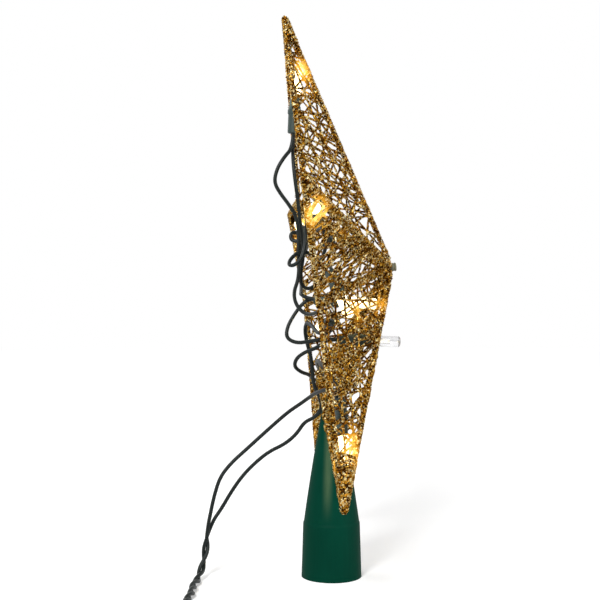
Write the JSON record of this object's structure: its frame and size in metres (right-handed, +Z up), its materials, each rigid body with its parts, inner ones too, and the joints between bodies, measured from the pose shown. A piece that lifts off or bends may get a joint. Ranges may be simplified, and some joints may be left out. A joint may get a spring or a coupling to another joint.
{
  "type": "christmas tree topper star",
  "caption": "Lighted star tree topper: glittered nets on a wire frame with push-in lamps inside, a cone for the tree's top shoot, and a coiled lead with a plug.",
  "frame": {"origin": "centre of the cone's rim, on the surface that the cone stands on", "axes": "+Z up along the cone's axis, -Y the way the star faces, +X to the right seen from its front"},
  "size_m": [0.3239, 0.1316, 0.345],
  "materials": {
    "gold_net": "gold thread crusted with glitter",
    "gold_yarn": "gold glitter yarn",
    "gold_wire": "gold paint",
    "steel_wire": "bright",
    "knot": "greyish glue bead",
    "green_cone": "satin",
    "green_holder": "satin",
    "lamp_base": "satin",
    "clear_lens": "clear, lit warm white",
    "led": "lit warm white",
    "brass": "bright",
    "green_plug": "satin",
    "fuse_glass": "glass with metal caps",
    "green_wire": "satin vinyl"
  },
  "bodies": {
    "star": {"apex_knot": "knot", "bound_tips": "gold_yarn", "holder_contacts": "brass", "lamp_bases": "lamp_base", "lamp_holder_forward": "green_holder", "lamp_holder_front": "green_holder", "lamp_holder_left": "green_holder", "lamp_holder_lower_left": "green_holder", "lamp_holder_lower_middle": "green_holder", "lamp_holder_lower_right": "green_holder", "lamp_holder_middle": "green_holder", "lamp_holder_right": "green_holder", "lamp_holder_top": "green_holder", "lamp_holder_upper_middle": "green_holder", "lamp_lenses": "clear_lens", "lead_coil": "green_wire", "lead_lower": "green_wire", "lead_pair": "green_wire", "lead_tail": "green_wire", "lead_upper": "green_wire", "led_posts": "led", "mount_clips": "gold_wire", "mount_wire": "steel_wire", "net_left_a": "gold_net", "net_left_b": "gold_net", "net_lower_left_a": "gold_net", "net_lower_left_b": "gold_net", "net_lower_right_a": "gold_net", "net_lower_right_b": "gold_net", "net_right_a": "gold_net", "net_right_b": "gold_net", "net_top_a": "gold_net", "net_top_b": "gold_net", "notch_welds": "gold_wire", "outline_wires": "gold_wire", "outline_yarn": "gold_yarn", "plug_blades": "brass", "plug_body": "green_plug", "plug_fuses": "fuse_glass", "ridge_wires": "gold_wire", "ridge_yarn": "gold_yarn", "valley_wires": "gold_wire", "valley_yarn": "gold_yarn", "wire_1_top_to_lower_middle": "green_wire", "wire_2_top_to_middle": "green_wire", "wire_3_middle_to_left": "green_wire", "wire_4_left_to_upper_middle": "green_wire", "wire_5_upper_middle_to_right": "green_wire", "wire_6_right_to_forward": "green_wire", "wire_7_forward_to_front": "green_wire", "wire_8_front_to_lower_right": "green_wire", "wire_9_lower_right_to_lower_left": "green_wire"},
    "cone": {"cone": "green_cone"},
    "front_lamp": {"front_lamp_base": "lamp_base", "front_lamp_lens": "clear_lens", "front_led_post": "led"},
    "fuse_door": {"fuse_door": "green_plug"}
  },
  "joints": [
    {"name": "cone_tilt", "type": "hinge", "parent": "star", "child": "cone", "pos_m": [0, 0, 0.1045], "axis": [1, 0, 0], "range_deg": [-8, 8]},
    {"name": "front_lamp_pull", "type": "slide", "parent": "star", "child": "front_lamp", "axis": [0, -0.9993, -0.0368], "range_m": [0, 0.012]},
    {"name": "fuse_door_slide", "type": "slide", "parent": "star", "child": "fuse_door", "axis": [0, -1, 0], "range_m": [0, 0.01]}
  ]
}
